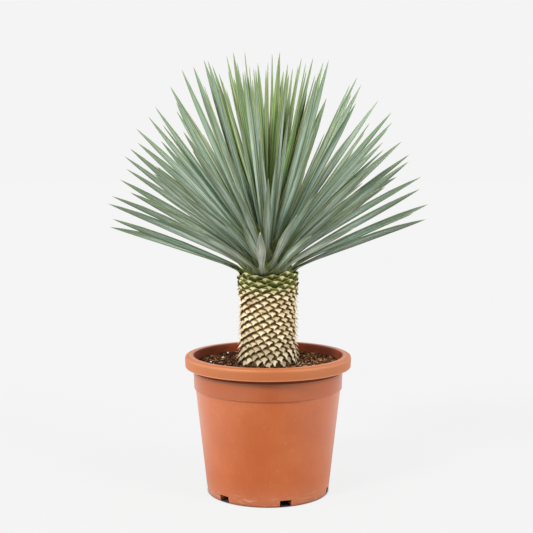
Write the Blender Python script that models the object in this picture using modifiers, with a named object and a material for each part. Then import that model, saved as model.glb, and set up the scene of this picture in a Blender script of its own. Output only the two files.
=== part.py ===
# Potted yucca: a nursery pot filled with potting mix, a trunk clad in old leaf bases, and a round
# head of stiff blade leaves. Metres, +Z up, the origin on the floor under the middle of the pot.
# The side that the plant shows best faces -Y.
import math
import random

import bmesh
import bpy
from mathutils import Matrix, Vector

# Pot
POT_HEIGHT = 0.300
RIM_RADIUS = 0.180
MOUTH_RADIUS = 0.1614
RIM_DEPTH = 0.026
BAND_RADIUS = 0.1622
BAND_FOOT_Z = 0.2275
BODY_RADIUS = 0.1572
FOOT_RADIUS = 0.131
WALL = 0.0024
FLOOR_Z = 0.016
FLOOR_THICKNESS = 0.003
POT_STEPS = 48
NOTCH_COUNT = 6
NOTCH_WIDTH = 0.025
NOTCH_HEIGHT = 0.0145
FIRST_NOTCH_DEG = 16.0
DRAIN_COUNT = 8
DRAIN_RADIUS = 0.007
DRAIN_CIRCLE = 0.088

# Potting mix
GAP = 0.0003
SOIL_Z = 0.2816
SOIL_RELIEF = 0.0022
SOIL_STEPS = 36
SOIL_RINGS = (0.074, 0.090, 0.108, 0.126, 0.142)

# Trunk and its spiral of old leaf bases
TRUNK_RADIUS = 0.054
TRUNK_SIDES = 12
TRUNK_TOP_Z = 0.440
SEAM_RISE = math.radians(28)
FOOT_DEPTH_Z = 0.205
BURIED_RADIUS = 0.049
GOLDEN_ANGLE = math.radians(137.508)
STUB_RISE = 0.000515
FIRST_STUB_Z = 0.288
LAST_STUB_Z = 0.491
STUB_WIDTH = 0.0170
STUB_ARCH = 0.0024
STUB_ROOT_RADIUS = 0.042

# Leaf head
HEAD_CENTRE_Z = 0.485
FILL_LEAVES = 154
LOWEST_LEAF_DEG = 15.0
HIGHEST_LEAF_DEG = 70.0
INNER_LEAVES = 14
INNER_LEAF_DEG = 68.0
LEAF_WIDTH = 0.0166
LEAF_KEEL = 0.0026
LEAF_JITTER_DEG = 2.6
LOW_ROOT = (0.040, 0.475)
HIGH_ROOT = (0.020, 0.548)
STEM_TOP_RADIUS = 0.024
STEM_TOP_Z = 0.566
LOW_REACH = 0.337
REACH_GAIN = 0.116
HEAD_RADIUS = 0.330
LEAF_ARCH = 0.007
ROLL_RANGE_DEG = (35.0, 62.0)
LEAF_SHAPE = ((0.0, 0.62), (0.48, 1.0), (0.82, 0.60))

# Leaves that face the front: turn from the front and lift in degrees, and reach in metres
FRONT_LEAVES = (
    (-2.7, 17.0, 0.340),
    (0.0, 34.4, 0.350),
    (9.9, 22.8, 0.338),
    (23.6, 21.3, 0.340),
    (-13.1, 33.2, 0.350),
    (-21.2, 25.7, 0.340),
    (-21.4, 16.4, 0.345),
)
FRONT_CLEARANCE_DEG = 7.0

# Leaves whose tips make the outline: lean from upright, left to right, in degrees, and reach in metres
OUTLINE_LEAVES = (
    (-75, 0.351), (-72, 0.350), (-67, 0.365), (-64, 0.362), (-61, 0.339), (-59, 0.372), (-55, 0.375),
    (-52, 0.393), (-48, 0.384), (-46, 0.390), (-43, 0.410), (-40, 0.360), (-38, 0.413), (-35, 0.426),
    (-30, 0.391), (-28, 0.440), (-23, 0.454), (-20, 0.454), (-17, 0.465), (-16, 0.461), (-11, 0.465),
    (-9, 0.461), (-6, 0.459), (1, 0.453), (3, 0.457), (9, 0.456), (12, 0.462), (15, 0.462), (16, 0.460),
    (19, 0.390), (25, 0.454), (27, 0.446), (33, 0.428), (38, 0.424), (40, 0.409), (41, 0.400),
    (43, 0.374), (46, 0.393), (50, 0.381), (52, 0.374), (55, 0.345), (58, 0.374), (61, 0.358),
    (67, 0.363), (70, 0.342), (72, 0.352),
)
OUTLINE_DEPTH = 0.085
OUTLINE_CLEARANCE_DEG = 7.0
OUTLINE_ROLL_DEG = (50.0, 78.0)

# Young leaves in the middle of the head
BUD_RADIUS = 0.013
BUD_FOOT_Z = 0.548
BUD_TOP_Z = 0.586
YOUNG_LEAVES = 20
YOUNG_SPREAD_DEG = 15.5
YOUNG_LEAN_DEG = 13
YOUNG_REACH = 0.452
YOUNG_WIDTH = 0.0140
YOUNG_ROOT = (0.0045, 0.562)
LEAF_CLEARANCE = 0.0155

COLORS = {
    "pot": ((0.60, 0.20, 0.085, 1), 0.55),
    "soil": ((0.045, 0.028, 0.018, 1), 0.95),
    "trunk": ((0.62, 0.52, 0.33, 1), 0.85),
    "leaf_head": ((0.17, 0.27, 0.21, 1), 0.6),
    "young_leaves": ((0.27, 0.38, 0.12, 1), 0.55),
}


def clear_scene():
    for obj in list(bpy.data.objects):
        bpy.data.objects.remove(obj)


def new_collection(name, hidden=False):
    collection = bpy.data.collections.new(name)
    bpy.context.scene.collection.children.link(collection)
    collection.hide_render = hidden
    return collection


def material(name):
    color, roughness = COLORS[name]
    mat = bpy.data.materials.new(name)
    mat.use_nodes = True
    shader = mat.node_tree.nodes["Principled BSDF"]
    shader.inputs["Base Color"].default_value = color
    shader.inputs["Roughness"].default_value = roughness
    shader.inputs["Metallic"].default_value = 0.0
    return mat


def object_from(bm, name, collection):
    """The bmesh as an object in the collection."""
    bmesh.ops.recalc_face_normals(bm, faces=bm.faces)
    mesh = bpy.data.meshes.new(name)
    bm.to_mesh(mesh)
    bm.free()
    obj = bpy.data.objects.new(name, mesh)
    collection.objects.link(obj)
    return obj


def baked(obj):
    """Applies the object's modifiers to its mesh."""
    graph = bpy.context.evaluated_depsgraph_get()
    mesh = bpy.data.meshes.new_from_object(obj.evaluated_get(graph))
    obj.modifiers.clear()
    obj.data = mesh
    return obj


def boolean(obj, helpers, operation):
    """Joins or cuts with every object of the collection, then removes them."""
    modifier = obj.modifiers.new("boolean", "BOOLEAN")
    modifier.operation = operation
    modifier.operand_type = "COLLECTION"
    modifier.collection = helpers
    modifier.solver = "MANIFOLD"
    baked(obj)
    for helper in list(helpers.objects):
        bpy.data.objects.remove(helper)


def keep_largest(obj):
    """Removes the chips that a seam leaves loose beside the body."""
    bm = bmesh.new()
    bm.from_mesh(obj.data)
    bodies = []
    unseen = set(bm.verts)
    while unseen:
        body = {unseen.pop()}
        edge_of_body = list(body)
        while edge_of_body:
            vert = edge_of_body.pop()
            for edge in vert.link_edges:
                other = edge.other_vert(vert)
                if other in unseen:
                    unseen.remove(other)
                    body.add(other)
                    edge_of_body.append(other)
        bodies.append(body)
    bodies.sort(key=len)
    chips = [vert for body in bodies[:-1] for vert in body]
    bmesh.ops.delete(bm, geom=chips, context="VERTS")
    bm.to_mesh(obj.data)
    bm.free()


def turned(profile, steps, name, collection):
    """A closed outline of (radius, height) points turned about +Z."""
    bm = bmesh.new()
    ring = [bm.verts.new((radius, 0, height)) for radius, height in profile]
    for first, second in zip(ring, ring[1:] + ring[:1]):
        bm.edges.new((first, second))
    mesh = bpy.data.meshes.new(name)
    bm.to_mesh(mesh)
    bm.free()
    obj = bpy.data.objects.new(name, mesh)
    collection.objects.link(obj)
    screw = obj.modifiers.new("turn", "SCREW")
    screw.steps = screw.render_steps = steps
    screw.use_merge_vertices = True
    screw.merge_threshold = 0.0001
    baked(obj)
    bm = bmesh.new()
    bm.from_mesh(obj.data)
    axis = [edge for edge in bm.edges if not edge.link_faces]
    bmesh.ops.delete(bm, geom=axis, context="EDGES")
    bmesh.ops.recalc_face_normals(bm, faces=bm.faces)
    bm.to_mesh(obj.data)
    bm.free()
    return obj


def box(name, size, place, turn, collection):
    bm = bmesh.new()
    bmesh.ops.create_cube(bm, size=1.0)
    bmesh.ops.transform(bm, matrix=Matrix.Diagonal((*size, 1)), verts=bm.verts)
    bmesh.ops.transform(bm, matrix=Matrix.Translation(place), verts=bm.verts)
    bmesh.ops.rotate(bm, matrix=Matrix.Rotation(turn, 3, "Z"), verts=bm.verts)
    return object_from(bm, name, collection)


def swept(sections, tip, name, collection):
    """A closed body through three-cornered sections to a point."""
    bm = bmesh.new()
    ring = bmesh.ops.create_circle(bm, cap_ends=True, segments=3, radius=1.0)["verts"]
    for number in range(len(sections) + 1):
        if number:
            edges = [e for e in bm.edges if e.verts[0] in ring and e.verts[1] in ring]
            grown = bmesh.ops.extrude_edge_only(bm, edges=edges)["geom"]
            ring = [next(e.other_vert(v) for e in v.link_edges if e.other_vert(v) in grown) for v in ring]
        if number < len(sections):
            for vert, point in zip(ring, sections[number]):
                vert.co = point
    bmesh.ops.pointmerge(bm, verts=ring, merge_co=tip)
    return object_from(bm, name, collection)


def pot_profile():
    """The pot's section: over the rim, down the outside, under the floor and up the inside."""
    rim_foot = POT_HEIGHT - RIM_DEPTH
    skirt = RIM_RADIUS - 0.0010
    body_foot = FOOT_RADIUS + 0.0023
    inner_top = MOUTH_RADIUS - 0.0016
    return [
        (MOUTH_RADIUS, POT_HEIGHT - 0.0008),
        (MOUTH_RADIUS + 0.0035, POT_HEIGHT),
        (RIM_RADIUS - 0.0068, POT_HEIGHT - 0.0010),
        (RIM_RADIUS - 0.0019, POT_HEIGHT - 0.0038),
        (RIM_RADIUS, POT_HEIGHT - 0.0090),
        (skirt, rim_foot + 0.0010),
        (skirt - 0.0009, rim_foot),
        (skirt - 0.0028, rim_foot),
        (RIM_RADIUS - WALL - 0.0004, POT_HEIGHT - 0.0100),
        (RIM_RADIUS - WALL - 0.0050, POT_HEIGHT - 0.0062),
        (BAND_RADIUS, POT_HEIGHT - 0.0066),
        (BAND_RADIUS - 0.0018, BAND_FOOT_Z + 0.0012),
        (BAND_RADIUS - 0.0030, BAND_FOOT_Z),
        (BODY_RADIUS, BAND_FOOT_Z - 0.0006),
        (body_foot, 0.0110),
        (FOOT_RADIUS, 0.0),
        (FOOT_RADIUS - 0.0035, 0.0),
        (FOOT_RADIUS - 0.0020, FLOOR_Z - FLOOR_THICKNESS),
        (0.0, FLOOR_Z - FLOOR_THICKNESS),
        (0.0, FLOOR_Z),
        (FOOT_RADIUS - 0.0014, FLOOR_Z),
        (BODY_RADIUS - WALL, BAND_FOOT_Z - 0.0006),
        (inner_top - 0.0018, BAND_FOOT_Z + 0.0020),
        (inner_top, POT_HEIGHT - 0.0060),
    ]


def build_pot(parts, cutters):
    """A moulded nursery pot with a turned-down rim, a band under it and a notched foot."""
    pot = turned(pot_profile(), POT_STEPS, "pot", parts)
    for k in range(NOTCH_COUNT):
        turn = math.radians(FIRST_NOTCH_DEG + k * 360 / NOTCH_COUNT)
        size = (NOTCH_WIDTH, 0.020, 2 * NOTCH_HEIGHT)
        box("notch", size, (0, -FOOT_RADIUS, 0), turn, cutters)
    for k in range(DRAIN_COUNT):
        turn = 2 * math.pi * (k + 0.5) / DRAIN_COUNT
        bm = bmesh.new()
        bmesh.ops.create_cone(
            bm, cap_ends=True, segments=12, radius1=DRAIN_RADIUS, radius2=DRAIN_RADIUS, depth=0.020
        )
        place = Vector((DRAIN_CIRCLE * math.cos(turn), DRAIN_CIRCLE * math.sin(turn), FLOOR_Z))
        bmesh.ops.translate(bm, vec=place, verts=bm.verts)
        object_from(bm, "drain", cutters)
    boolean(pot, cutters, "DIFFERENCE")
    return pot


def inner_wall_radius(height):
    """The pot's inside radius at a height between the floor and the band."""
    low = FOOT_RADIUS - 0.0014
    share = (height - FLOOR_Z) / (BAND_FOOT_Z - 0.0006 - FLOOR_Z)
    return low + share * (BODY_RADIUS - WALL - low)


def soil_height(x, y):
    """Lumps on the surface, level around the trunk."""
    lumps = math.sin(61 * x + 1.3) * math.cos(53 * y) + 0.7 * math.sin(97 * (x + y))
    lumps += 0.5 * math.cos(143 * (x - y))
    away = min(1.0, max(0.0, (math.hypot(x, y) - SOIL_RINGS[0]) / 0.02))
    return SOIL_Z + away * SOIL_RELIEF * (lumps / 2.2 - 0.6)


def build_soil(parts):
    """Potting mix that fills the pot, with a plain hole for the trunk's foot."""
    hole = BURIED_RADIUS + GAP
    hole_z = FOOT_DEPTH_Z - GAP
    wall_top = MOUTH_RADIUS - 0.0034 - 2 * GAP
    profile = [(0.0, hole_z), (hole, hole_z), (hole, SOIL_Z)]
    profile += [(radius, SOIL_Z) for radius in SOIL_RINGS]
    profile += [
        (wall_top + 0.0010, SOIL_Z),
        (wall_top, BAND_FOOT_Z + 0.0024),
        (BODY_RADIUS - WALL - 2 * GAP, BAND_FOOT_Z - 0.0006),
        (inner_wall_radius(FLOOR_Z + GAP) - 2 * GAP, FLOOR_Z + GAP),
        (0.0, FLOOR_Z + GAP),
    ]
    soil = turned(profile, SOIL_STEPS, "soil", parts)
    for vert in soil.data.vertices:
        if abs(vert.co.z - SOIL_Z) < 1e-6 and math.hypot(vert.co.x, vert.co.y) > hole + 0.001:
            vert.co.z = soil_height(vert.co.x, vert.co.y)
    return soil


def direction(turn, lift):
    """A unit vector, turned from the front (-Y) towards +X and lifted above the horizontal."""
    flat = math.cos(lift)
    return Vector((flat * math.sin(turn), -flat * math.cos(turn), math.sin(lift)))


def mix(first, second, share):
    return first + (second - first) * share


def build_stub(turn, height, collection):
    """One leaf base: a shield that hangs down low on the trunk and stands up under the leaves."""
    rng = random.Random(round(height * 1e6))
    share = min(1.0, (height - FIRST_STUB_Z) / (LAST_STUB_Z - FIRST_STUB_Z))
    late = share**2
    out = direction(turn, 0)
    across = Vector((math.cos(turn), math.sin(turn), 0))
    half = 0.5 * STUB_WIDTH * rng.uniform(0.94, 1.04)
    lip = mix(0.0598, 0.0672, late) + rng.uniform(-0.0006, 0.0006)
    point = mix(0.0682, 0.0612, late) + rng.uniform(-0.0012, 0.0008)
    drop = mix(0.0100, 0.0058, late) * rng.uniform(0.92, 1.08)
    root_rise = mix(0.0050, -0.0170, share**1.4)
    end = Vector((0, 0, height))
    corners = (
        end + out * STUB_ROOT_RADIUS + Vector((0, 0, root_rise)),
        end + out * lip - across * half,
        end + out * (lip + 0.0004) + Vector((0, 0, STUB_ARCH)),
        end + out * lip + across * half,
        end + out * point - Vector((0, 0, drop)),
    )
    bm = bmesh.new()
    for corner in corners:
        bm.verts.new(corner)
    bmesh.ops.convex_hull(bm, input=bm.verts)
    return object_from(bm, "stub", collection)


def stub_places():
    """Turn and height of each leaf base, up the spiral."""
    count = int((LAST_STUB_Z - FIRST_STUB_Z) / STUB_RISE)
    return [(-k * GOLDEN_ANGLE, FIRST_STUB_Z + k * STUB_RISE) for k in range(count)]


def stem(name, radius, bottom, top, sides, collection):
    bm = bmesh.new()
    depth = top - bottom
    bmesh.ops.create_cone(bm, cap_ends=True, segments=sides, radius1=radius, radius2=radius, depth=depth)
    bmesh.ops.translate(bm, vec=(0, 0, bottom + depth / 2), verts=bm.verts)
    return object_from(bm, name, collection)


def seam_cutter(height, reach, collection):
    """All above or below the seam between trunk and head, which rises outwards as the leaf bases do."""
    flat = 0.8 * TRUNK_RADIUS
    wide = 2 * TRUNK_RADIUS
    seam = [(0, height), (flat, height), (wide, height + (wide - flat) * math.tan(SEAM_RISE))]
    far = [(wide, height + reach), (0, height + reach)]
    return turned(seam + far, TRUNK_SIDES, "seam", collection)


def build_trunk(parts, cutters):
    """The trunk with its old leaf bases, cut level on the soil, and its foot in the soil."""
    trunk = stem("trunk", TRUNK_RADIUS, SOIL_Z - 0.015, TRUNK_TOP_Z + 0.030, TRUNK_SIDES, parts)
    for turn, height in stub_places():
        if height < TRUNK_TOP_Z + 0.024:
            build_stub(turn, height, cutters)
    boolean(trunk, cutters, "UNION")
    seam_cutter(TRUNK_TOP_Z, 0.1, cutters)
    box("below", (0.3, 0.3, 0.2), (0, 0, SOIL_Z + GAP - 0.1), 0, cutters)
    boolean(trunk, cutters, "DIFFERENCE")
    keep_largest(trunk)
    stem("foot", BURIED_RADIUS, FOOT_DEPTH_Z, SOIL_Z + 0.02, TRUNK_SIDES, cutters)
    boolean(trunk, cutters, "UNION")
    return trunk


def leaf_root(tip, young):
    """Where on the stem the leaf with this tip grows: the lower it leans, the lower and further out."""
    low = math.sin(math.radians(LOWEST_LEAF_DEG))
    share = ((tip - Vector((0, 0, HEAD_CENTRE_Z))).normalized().z - low) / (1 - low)
    radius, height = YOUNG_ROOT if young else (mix(LOW_ROOT[k], HIGH_ROOT[k], share) for k in range(2))
    out = Vector((tip.x, tip.y, 0)).normalized()
    return out * radius + Vector((0, 0, height))


def build_leaf(leaf, width, collection):
    """One blade: three-sided, flat above and keeled below, and bent down a little."""
    root, tip, roll = leaf
    along = (tip - root).normalized()
    across = along.cross(Vector((0, 0, 1))).normalized()
    up = across.cross(along)
    side = across * math.cos(roll) + up * math.sin(roll)
    face = up * math.cos(roll) - across * math.sin(roll)
    arch = 4 * LEAF_ARCH * (1 - along.z**2)
    sections = []
    for share, fullness in LEAF_SHAPE:
        middle = root.lerp(tip, share) + Vector((0, 0, arch * share * (1 - share)))
        half = side * (0.5 * width * fullness)
        keel = face * (-LEAF_KEEL * (0.45 + 0.55 * fullness))
        sections.append([middle - half, middle + half, middle + keel])
    return swept(sections, tip, "leaf", collection)


def apart(first, second):
    """Whether two leaves keep clear of each other from root to tip."""
    for share in (0.0, 0.2, 0.4, 0.7, 1.0):
        gap = first[0].lerp(first[1], share) - second[0].lerp(second[1], share)
        if gap.length < LEAF_CLEARANCE:
            return False
    return True


def outline_leaf(lean, reach, young, rng):
    tip = Vector((reach * math.sin(lean), 0, HEAD_CENTRE_Z + reach * math.cos(lean)))
    tip.y = rng.uniform(-OUTLINE_DEPTH, OUTLINE_DEPTH)
    roll = math.radians(rng.uniform(*OUTLINE_ROLL_DEG)) * rng.choice((-1, 1))
    return leaf_root(tip, young), tip, roll


def head_leaves():
    """Root, tip and roll of the full-grown leaves: the placed ones, then a spiral
    between them with a ring around the young leaves."""
    rng = random.Random(11)
    centre = Vector((0, 0, HEAD_CENTRE_Z))
    front = []
    for number, (turn, lift, reach) in enumerate(FRONT_LEAVES):
        tip = centre + direction(math.radians(turn), math.radians(lift)) * reach
        front.append((leaf_root(tip, False), tip, math.radians((6, -14, 10, -22)[number % 4])))
    outline = []
    for lean, reach in OUTLINE_LEAVES:
        if abs(lean) > YOUNG_LEAN_DEG:
            outline.append(outline_leaf(math.radians(lean), reach, False, rng))
    placed = front + outline
    low = math.sin(math.radians(LOWEST_LEAF_DEG))
    high = math.sin(math.radians(HIGHEST_LEAF_DEG))
    jitter = math.radians(LEAF_JITTER_DEG)
    places = []
    for k in range(FILL_LEAVES):
        lift = math.asin(low + (high - low) * (k + 0.5) / FILL_LEAVES)
        places.append((-k * GOLDEN_ANGLE, lift))
    for k in range(INNER_LEAVES):
        places.append((2 * math.pi * (k + 0.5) / INNER_LEAVES, math.radians(INNER_LEAF_DEG)))
    for turn, lift in places:
        turn += rng.uniform(-jitter, jitter) / math.cos(lift)
        lift += rng.uniform(-jitter, jitter)
        reach = (LOW_REACH + REACH_GAIN * math.sin(lift) ** 2.2) * (1 - 0.14 * rng.random() ** 2)
        roll = math.radians(rng.uniform(*ROLL_RANGE_DEG)) * rng.choice((-1, 1))
        pointing = direction(turn, lift)
        near_front = min(math.degrees(pointing.angle(tip - centre)) for _, tip, _ in front)
        near_outline = min(math.degrees(pointing.angle(tip - centre)) for _, tip, _ in outline)
        if near_front > FRONT_CLEARANCE_DEG and near_outline > OUTLINE_CLEARANCE_DEG:
            tip = centre + pointing * min(reach, HEAD_RADIUS / math.cos(lift))
            placed.append((leaf_root(tip, False), tip, roll))
    return placed


def young_leaves(full_grown):
    """Root, tip and roll of the young leaves: close to upright and clear of the full-grown ones."""
    rng = random.Random(5)
    leaves = []
    for lean, reach in OUTLINE_LEAVES:
        if abs(lean) < YOUNG_LEAN_DEG:
            tries = [outline_leaf(math.radians(lean), reach, True, rng) for _ in range(12)]
            clear = [leaf for leaf in tries if all(apart(leaf, other) for other in full_grown)]
            leaves += clear[:1]
    for k in range(YOUNG_LEAVES):
        lean = math.radians(YOUNG_SPREAD_DEG) * math.sqrt((k + 0.5) / YOUNG_LEAVES)
        reach = YOUNG_REACH * (1 - 0.07 * rng.random())
        roll = math.radians(rng.uniform(20, 70)) * rng.choice((-1, 1))
        tip = Vector((0, 0, HEAD_CENTRE_Z)) + direction(-k * GOLDEN_ANGLE, math.pi / 2 - lean) * reach
        leaf = (leaf_root(tip, True), tip, roll)
        if all(apart(leaf, other) for other in full_grown):
            leaves.append(leaf)
    return leaves


def build_leaf_head(parts, cutters):
    """The green leaf bases under the head, its short stem, and the leaves that fan out of it."""
    core = [
        (0, TRUNK_TOP_Z - 0.02),
        (TRUNK_RADIUS, TRUNK_TOP_Z - 0.02),
        (TRUNK_RADIUS, HEAD_CENTRE_Z - 0.004),
        (mix(TRUNK_RADIUS, STEM_TOP_RADIUS, 0.30), mix(HEAD_CENTRE_Z, STEM_TOP_Z, 0.40)),
        (STEM_TOP_RADIUS, STEM_TOP_Z),
        (0, STEM_TOP_Z),
    ]
    head = turned(core, TRUNK_SIDES, "leaf_head", parts)
    for turn, height in stub_places():
        if height > TRUNK_TOP_Z - 0.004:
            build_stub(turn, height, cutters)
    for leaf in head_leaves():
        build_leaf(leaf, LEAF_WIDTH, cutters)
    boolean(head, cutters, "UNION")
    seam_cutter(TRUNK_TOP_Z + GAP, -0.1, cutters)
    stem("bud_hole", BUD_RADIUS + GAP, BUD_FOOT_Z - GAP, BUD_FOOT_Z + 0.10, 12, cutters)
    boolean(head, cutters, "DIFFERENCE")
    keep_largest(head)
    return head


def build_young_leaves(parts, cutters):
    """The bud in the middle of the head, with its upright young leaves."""
    bud = stem("young_leaves", BUD_RADIUS, BUD_FOOT_Z, BUD_TOP_Z, 12, parts)
    for leaf in young_leaves(head_leaves()):
        build_leaf(leaf, YOUNG_WIDTH, cutters)
    boolean(bud, cutters, "UNION")
    return bud


def main():
    clear_scene()
    parts = new_collection("potted_yucca")
    cutters = new_collection("helpers", hidden=True)
    made = [
        build_pot(parts, cutters),
        build_soil(parts),
        build_trunk(parts, cutters),
        build_leaf_head(parts, cutters),
        build_young_leaves(parts, cutters),
    ]
    for obj in made:
        obj.data.materials.clear()
        obj.data.materials.append(material(obj.name))
    for name in ("pot", "soil"):
        mesh = bpy.data.objects[name].data
        mesh.shade_smooth()
        mesh.set_sharp_from_angle(angle=math.radians(35))


main()
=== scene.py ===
import math
import random

import bmesh
import bpy
from mathutils import Matrix, Vector, noise


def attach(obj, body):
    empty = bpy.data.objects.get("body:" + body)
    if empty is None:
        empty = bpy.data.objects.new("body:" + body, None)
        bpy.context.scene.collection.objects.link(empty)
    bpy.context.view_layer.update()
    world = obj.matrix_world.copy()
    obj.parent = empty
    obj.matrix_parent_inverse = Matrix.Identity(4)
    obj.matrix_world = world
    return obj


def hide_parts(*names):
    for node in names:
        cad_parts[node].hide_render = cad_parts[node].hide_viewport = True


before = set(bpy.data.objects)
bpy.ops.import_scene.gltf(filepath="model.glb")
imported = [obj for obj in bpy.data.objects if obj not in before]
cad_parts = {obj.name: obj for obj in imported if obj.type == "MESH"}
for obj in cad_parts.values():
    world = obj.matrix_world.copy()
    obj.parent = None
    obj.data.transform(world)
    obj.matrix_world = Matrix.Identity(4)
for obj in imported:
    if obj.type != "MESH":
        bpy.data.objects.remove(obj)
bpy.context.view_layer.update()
print("frame loaded")

goldenAngle = math.radians(137.508)
up = Vector((0, 0, 1))


# small helpers

def mix(first, second, share):
    return first + (second - first) * share


def ease(low, high, value):
    share = min(1.0, max(0.0, (value - low) / (high - low)))
    return share * share * (3 - 2 * share)


def direction(turn, lift):
    flat = math.cos(lift)  # turn runs from the front towards +X
    return Vector((flat * math.sin(turn), -flat * math.cos(turn), math.sin(lift)))


def finished(bm, name, paint, slotName, node=None, sharp=None):
    mesh = bpy.data.meshes.new(name)
    bm.to_mesh(mesh)
    bm.free()
    mesh.materials.append(paint.material)
    mesh.shade_smooth()
    if sharp:
        mesh.set_sharp_from_angle(angle=math.radians(sharp))
    piece = bpy.data.objects.new(name, mesh)
    bpy.context.scene.collection.objects.link(piece)
    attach(piece, "root")
    if node:
        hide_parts(node)
    return piece


def turnedShape(profile, steps):
    # profile holds (radius, height, rounding) and closes on itself
    bm = bmesh.new()
    chain = [bm.verts.new((radius, 0, height)) for radius, height, _ in profile]
    for first, second in zip(chain, chain[1:] + chain[:1]):
        bm.edges.new((first, second))
    for corner, (_, _, rounding) in zip(chain, profile):
        if rounding:
            bmesh.ops.bevel(bm, geom=[corner], offset=rounding, offset_type="OFFSET", segments=3,
                            profile=0.5, affect="VERTICES", clamp_overlap=True, material=-1)
    bmesh.ops.spin(bm, geom=bm.verts[:] + bm.edges[:], cent=(0, 0, 0), axis=(0, 0, 1),
                   angle=2 * math.pi, steps=steps, use_merge=True)
    bmesh.ops.remove_doubles(bm, verts=bm.verts, dist=0.00001)
    bmesh.ops.delete(bm, geom=[edge for edge in bm.edges if not edge.link_faces], context="EDGES")
    bmesh.ops.recalc_face_normals(bm, faces=bm.faces)
    return bm


def newShell(values=()):
    bm = bmesh.new()
    bm.loops.layers.uv.new("shape")
    for value in values:
        bm.verts.layers.float.new(value)
    return bm


def template(bm):
    mesh = bpy.data.meshes.new("template")
    bm.to_mesh(mesh)
    bm.free()
    return mesh


def addCopy(bm, original, moved, **values):
    copy = original.copy()
    for vert in copy.vertices:
        vert.co = moved(vert.co)
    for name, value in values.items():
        copy.attributes.new(name, "FLOAT", "POINT").data.foreach_set("value", [value] * len(copy.vertices))
    bm.from_mesh(copy)
    bpy.data.meshes.remove(copy)


# material writing: sums on sockets become nodes

class Wire:
    def __init__(self, paint, socket):
        self.paint = paint
        self.socket = socket

    def __add__(self, other):
        return self.paint.sum("ADD", self, other)

    def __sub__(self, other):
        return self.paint.sum("SUBTRACT", self, other)

    def __rsub__(self, other):
        return self.paint.sum("SUBTRACT", other, self)

    def __mul__(self, other):
        return self.paint.sum("MULTIPLY", self, other)

    def __truediv__(self, other):
        return self.paint.sum("DIVIDE", self, other)

    def __rtruediv__(self, other):
        return self.paint.sum("DIVIDE", other, self)

    def __abs__(self):
        return self.paint.node("Math", {"operation": "ABSOLUTE"}, {0: self})

    __radd__ = __add__
    __rmul__ = __mul__


class Paint:
    def __init__(self, name, world=None, **constants):
        self.material = world or bpy.data.materials.new(name)
        self.material.use_nodes = True
        self.tree = self.material.node_tree
        self.shader = self.tree.nodes["Background" if world else "Principled BSDF"]
        for socket, value in constants.items():
            self.shader.inputs[socket.replace("_", " ")].default_value = value

    def node(self, kind, settings=None, inputs=None, output=0):
        made = self.tree.nodes.new("ShaderNode" + kind)
        for key, value in (settings or {}).items():
            if key == "stops":
                for spare in range(len(value) - 2):
                    made.color_ramp.elements.new(0.5)
                for element, (place, color) in zip(made.color_ramp.elements, value):
                    element.position = place
                    element.color = (*color, 1)
            else:
                setattr(made, key, value)
        for key, value in (inputs or {}).items():
            self.plug(made.inputs[key], value)
        return Wire(self, made.outputs[output])

    def plug(self, socket, value):
        if isinstance(value, Wire):
            self.tree.links.new(value.socket, socket)
        elif isinstance(value, tuple) and socket.type == "RGBA":
            socket.default_value = (*value, 1)
        else:
            socket.default_value = value

    def sum(self, operation, first, second):
        return self.node("Math", {"operation": operation}, {0: first, 1: second})

    def limit(self, value, low, high, newLow=0.0, newHigh=1.0):
        # a smooth step from newLow at low to newHigh at high
        return self.node("MapRange", {"interpolation_type": "SMOOTHSTEP"},
                         {"Value": value, "From Min": low, "From Max": high,
                          "To Min": newLow, "To Max": newHigh})

    def blend(self, share, first, second):
        return self.node("Mix", {"data_type": "RGBA"}, {0: share, 6: first, 7: second}, 2)

    def ramp(self, value, stops):
        return self.node("ValToRGB", {"stops": stops}, {0: value})

    def place(self):
        return self.node("TexCoord", None, None, 3)

    def axis(self, vector, number):
        return self.node("SeparateXYZ", None, {0: vector}, number)

    def length(self, vector):
        return self.node("VectorMath", {"operation": "LENGTH"}, {0: vector}, 1)

    def stretched(self, scale, vector):
        return self.node("Mapping", None, {"Vector": vector, "Scale": scale})

    def noise(self, vector, scale, detail, roughness):
        return self.node("TexNoise", None, {"Vector": vector, "Scale": scale, "Detail": detail,
                                            "Roughness": roughness})

    def value(self, name):
        return self.node("Attribute", {"attribute_name": name}, None, 2)

    def acrossAlong(self):
        shape = self.node("UVMap", {"uv_map": "shape"})
        return self.axis(shape, 0), self.axis(shape, 1)

    def finish(self, color, roughness, height, depth, strength):
        self.plug(self.shader.inputs["Base Color"], color)
        self.plug(self.shader.inputs["Roughness"], roughness)
        bump = self.node("Bump", None, {"Height": height, "Distance": depth, "Strength": strength})
        self.plug(self.shader.inputs["Normal"], bump)
        return self


# camera, floor and light

stageSet = {
    "cameraPlace": (-0.0034, -2.25, 0.6992),
    "cameraPitch": 84.696,
    "lens": 70.82,
    "floorSize": 60.0,
    "floorColor": (0.05, 0.05, 0.05, 1.0),
    "floorSeen": 0.823,  # glow that the camera sees, so that the floor meets the backdrop
    "floorGiven": 0.34,  # glow that lights the plant
    "floorSides": 0.65,  # and more of it to the left and the right
    "sidesFrom": (0.08, 0.45),  # distances over which that comes in
    "sidesTo": (1.5, 0.8),  # far out it is gone, and nearer than the second it is full
    "middle": (-0.1, 0.1),  # between the left half and the right one
    "rightShare": 0.88,  # of the side glow that the right half gets
    "footShade": (0.1285, 0.1350),  # the floor under the pot has no glow: radii from none to all
    "backdrop": (0.905, 0.905, 0.905, 1.0),
    "skyBright": 0.72,  # towards the back and the top
    "skyDim": 0.50,  # behind the camera
    "skyTurn": (-0.7, 0.35),  # from dim to bright
    "boxEdge": (0.58, 0.84),  # how far to the side the soft boxes start and are full
    "leftBox": 2.30,
    "rightBox": 1.80,
    "suns": ((2.8, 14, -42, 38), (1.65, 20, 52, 34)),  # strength, softness, turn, lift
}


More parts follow.
